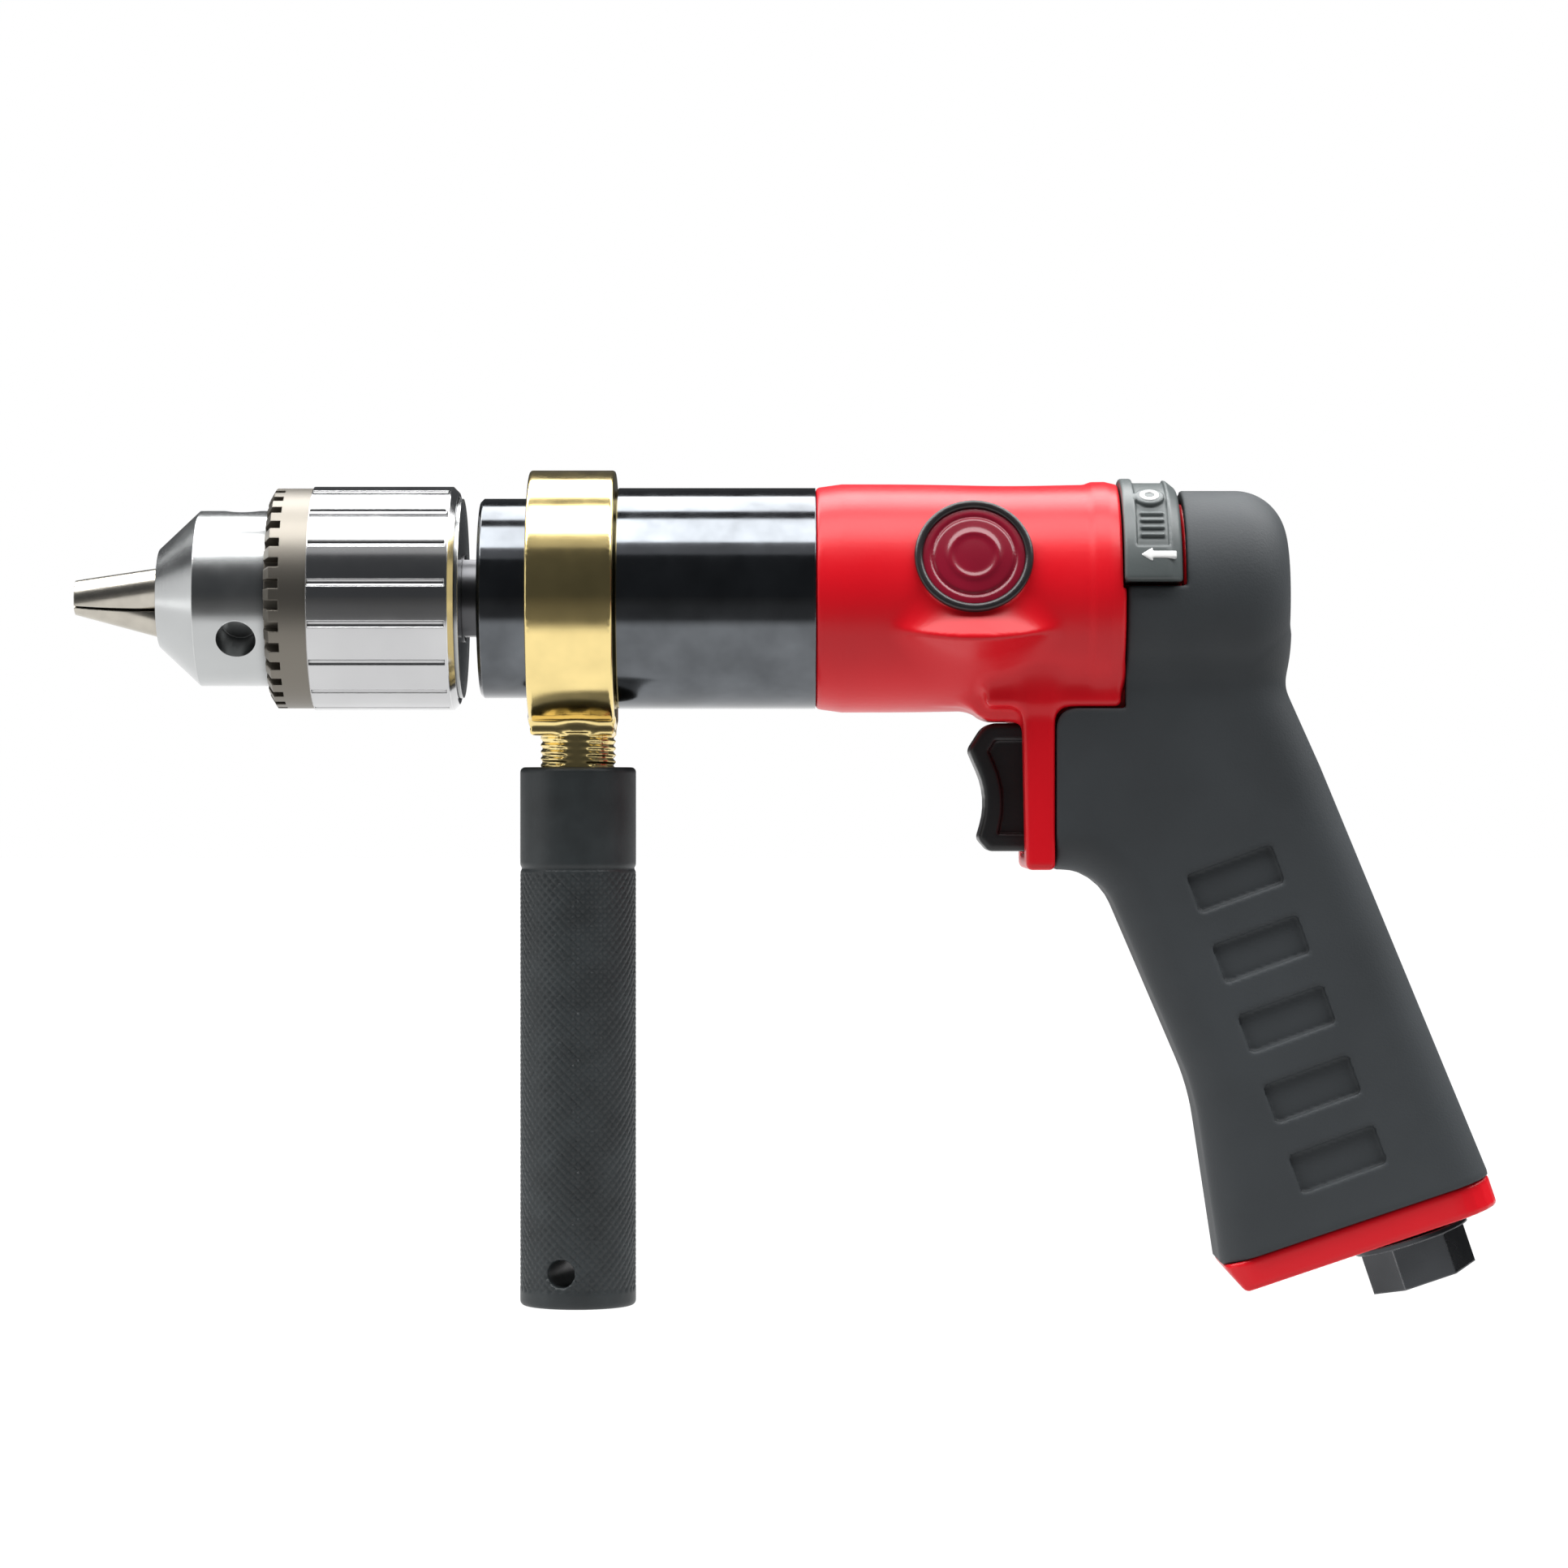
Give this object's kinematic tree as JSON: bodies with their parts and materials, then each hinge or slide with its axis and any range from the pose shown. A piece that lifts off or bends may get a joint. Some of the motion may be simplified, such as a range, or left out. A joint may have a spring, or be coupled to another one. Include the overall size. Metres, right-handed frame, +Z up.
{
  "type": "pneumatic drill",
  "caption": "Pistol-grip reversible air drill with a keyed three-jaw chuck, a two-stage planetary vane motor, a trigger throttle and a clamp-on side handle.",
  "frame": {"origin": "on the spindle axis, at the tips of the closed chuck jaws", "axes": "+X along the spindle from the jaws to the back of the drill, +Z up, the grip and side handle hang towards -Z"},
  "size_m": [0.2913, 0.0535, 0.1715],
  "materials": {
    "jaw_steel": "ground hardened steel",
    "chuck_steel": "turned and bead-blasted steel",
    "sleeve_steel": "polished knurled steel",
    "black_steel": "polished black oxide",
    "brass_plate": "bright zinc-yellow and brass plate on steel",
    "handle_black": "black anodised and knurled",
    "red_paint": "red painted casting",
    "black_rubber": "matt moulded grip",
    "black_plastic": "moulded nylon",
    "ring_plastic": "dark grey moulded nylon",
    "badge_enamel": "domed disc in a black rim",
    "bearing_steel": "ground",
    "gear_steel": "hobbed and oiled",
    "motor_iron": "honed",
    "bronze": "sintered",
    "seal_rubber": "nitrile",
    "felt": "pressed felt",
    "vane_laminate": "laminated phenolic"
  },
  "bodies": {
    "housing": {"gear_case": "black_steel", "ring_gear": "gear_steel", "spindle_seal": "seal_rubber", "spindle_bearing_outer_ring": "bearing_steel", "motor_front_plate": "motor_iron", "motor_rear_plate": "motor_iron", "motor_cylinder": "motor_iron", "rotor_front_bearing_outer_ring": "bearing_steel", "rotor_rear_bearing_outer_ring": "bearing_steel", "motor_housing": "red_paint", "grip_sleeve": "black_rubber", "badge": "badge_enamel", "throttle_bush": "bronze", "throttle_seal": "seal_rubber", "throttle_spring": "bearing_steel", "exhaust_cap": "red_paint", "muffler_felt": "felt", "inlet_bushing": "black_steel", "inlet_seal": "seal_rubber", "inlet_screen": "bronze"},
    "spindle": {"spindle": "gear_steel", "chuck_body": "chuck_steel", "chuck_lock_screw": "bearing_steel", "output_planet_pins": "bearing_steel", "spindle_bearing_inner_ring": "bearing_steel"},
    "spindle_bearing_cage": {"spindle_bearing_balls": "bearing_steel"},
    "chuck_sleeve": {"chuck_sleeve": "sleeve_steel", "chuck_scroll_nut": "gear_steel"},
    "input_carrier": {"input_carrier": "gear_steel", "input_planet_pins": "bearing_steel"},
    "rotor": {"rotor": "gear_steel", "rotor_vanes": "vane_laminate", "rotor_front_bearing_inner_ring": "bearing_steel", "rotor_rear_bearing_inner_ring": "bearing_steel"},
    "rotor_front_cage": {"rotor_front_bearing_balls": "bearing_steel"},
    "rotor_rear_cage": {"rotor_rear_bearing_balls": "bearing_steel"},
    "trigger": {"trigger": "black_plastic", "trigger_stem": "bearing_steel", "throttle_valve": "bronze"},
    "reverse_ring": {"reverse_ring": "ring_plastic", "reverse_drive_pin": "bearing_steel", "reverse_valve": "bronze"},
    "clamp_band": {"clamp_band": "brass_plate"},
    "side_handle": {"side_handle": "handle_black"},
    "chuck_jaw_1": {"chuck_jaw_1": "jaw_steel"},
    "output_planet_1": {"output_planet_1": "gear_steel"},
    "input_planet_1": {"input_planet_1": "gear_steel"},
    "chuck_jaw_2": {"chuck_jaw_2": "jaw_steel"},
    "output_planet_2": {"output_planet_2": "gear_steel"},
    "input_planet_2": {"input_planet_2": "gear_steel"},
    "chuck_jaw_3": {"chuck_jaw_3": "jaw_steel"},
    "output_planet_3": {"output_planet_3": "gear_steel"},
    "input_planet_3": {"input_planet_3": "gear_steel"}
  },
  "joints": [
    {"name": "spindle_spin", "type": "hinge", "parent": "housing", "child": "spindle", "pos_m": [0.0925, 0, 0], "axis": [1, 0, 0], "continuous": true},
    {"name": "spindle_cage_spin", "type": "hinge", "parent": "housing", "child": "spindle_bearing_cage", "pos_m": [0.0925, 0, 0], "axis": [1, 0, 0], "continuous": true},
    {"name": "output_planet_1_spin", "type": "hinge", "parent": "spindle", "child": "output_planet_1", "pos_m": [0.1215, 0, 0.0108], "axis": [1, 0, 0], "continuous": true},
    {"name": "output_planet_2_spin", "type": "hinge", "parent": "spindle", "child": "output_planet_2", "pos_m": [0.1215, -0.00935, -0.0054], "axis": [1, 0, 0], "continuous": true},
    {"name": "output_planet_3_spin", "type": "hinge", "parent": "spindle", "child": "output_planet_3", "pos_m": [0.1215, 0.00935, -0.0054], "axis": [1, 0, 0], "continuous": true},
    {"name": "input_carrier_spin", "type": "hinge", "parent": "housing", "child": "input_carrier", "pos_m": [0.1325, 0, 0], "axis": [1, 0, 0], "continuous": true},
    {"name": "input_planet_1_spin", "type": "hinge", "parent": "input_carrier", "child": "input_planet_1", "pos_m": [0.1413, 0, 0.0108], "axis": [1, 0, 0], "continuous": true},
    {"name": "input_planet_2_spin", "type": "hinge", "parent": "input_carrier", "child": "input_planet_2", "pos_m": [0.1413, -0.00935, -0.0054], "axis": [1, 0, 0], "continuous": true},
    {"name": "input_planet_3_spin", "type": "hinge", "parent": "input_carrier", "child": "input_planet_3", "pos_m": [0.1413, 0.00935, -0.0054], "axis": [1, 0, 0], "continuous": true},
    {"name": "rotor_spin", "type": "hinge", "parent": "housing", "child": "rotor", "pos_m": [0.1765, 0, 0], "axis": [1, 0, 0], "continuous": true},
    {"name": "rotor_front_cage_spin", "type": "hinge", "parent": "housing", "child": "rotor_front_cage", "pos_m": [0.1518, 0, 0], "axis": [1, 0, 0], "continuous": true},
    {"name": "rotor_rear_cage_spin", "type": "hinge", "parent": "housing", "child": "rotor_rear_cage", "pos_m": [0.1999, 0, 0], "axis": [1, 0, 0], "continuous": true},
    {"name": "chuck_sleeve_turn", "type": "hinge", "parent": "spindle", "child": "chuck_sleeve", "pos_m": [0.06, 0, 0], "axis": [-1, 0, 0], "range_deg": [0, 4320]},
    {"name": "chuck_jaw_1_slide", "type": "slide", "parent": "spindle", "child": "chuck_jaw_1", "axis": [0.9659, 0, -0.2588], "range_m": [0, 0.0216]},
    {"name": "chuck_jaw_2_slide", "type": "slide", "parent": "spindle", "child": "chuck_jaw_2", "axis": [0.9659, 0.2241, 0.1294], "range_m": [0, 0.0216]},
    {"name": "chuck_jaw_3_slide", "type": "slide", "parent": "spindle", "child": "chuck_jaw_3", "axis": [0.9659, -0.2241, 0.1294], "range_m": [0, 0.0216]},
    {"name": "trigger_pull", "type": "slide", "parent": "housing", "child": "trigger", "axis": [1, 0, 0], "range_m": [0, 0.006], "stiffness_N_per_m": 1300, "springref_m": -0.004, "deforming": ["throttle_spring"]},
    {"name": "reverse_turn", "type": "hinge", "parent": "housing", "child": "reverse_ring", "pos_m": [0.22, 0, 0], "axis": [-1, 0, 0], "range_deg": [0, 24]},
    {"name": "band_swing", "type": "hinge", "parent": "housing", "child": "clamp_band", "pos_m": [0.1023, 0, 0], "axis": [1, 0, 0], "continuous": true},
    {"name": "side_handle_turn", "type": "hinge", "parent": "clamp_band", "child": "side_handle", "pos_m": [0.1033, 0, -0.09], "axis": [0, 0, -1], "range_deg": [0, 360]}
  ],
  "couplings": [
    {"joint": "spindle_cage_spin", "follows": "spindle_spin", "ratio": 0.39787},
    {"joint": "output_planet_1_spin", "follows": "spindle_spin", "ratio": -2.6},
    {"joint": "output_planet_2_spin", "follows": "spindle_spin", "ratio": -2.6},
    {"joint": "output_planet_3_spin", "follows": "spindle_spin", "ratio": -2.6},
    {"joint": "input_carrier_spin", "follows": "spindle_spin", "ratio": 5.3333},
    {"joint": "input_planet_1_spin", "follows": "spindle_spin", "ratio": -13.867},
    {"joint": "input_planet_2_spin", "follows": "spindle_spin", "ratio": -13.867},
    {"joint": "input_planet_3_spin", "follows": "spindle_spin", "ratio": -13.867},
    {"joint": "rotor_spin", "follows": "spindle_spin", "ratio": 28.444},
    {"joint": "rotor_front_cage_spin", "follows": "spindle_spin", "ratio": 10.588},
    {"joint": "rotor_rear_cage_spin", "follows": "spindle_spin", "ratio": 10.468},
    {"joint": "chuck_jaw_1_slide", "follows": "chuck_sleeve_turn", "m_per_rad": 0.00028648},
    {"joint": "chuck_jaw_2_slide", "follows": "chuck_sleeve_turn", "m_per_rad": 0.00028648},
    {"joint": "chuck_jaw_3_slide", "follows": "chuck_sleeve_turn", "m_per_rad": 0.00028648}
  ]
}
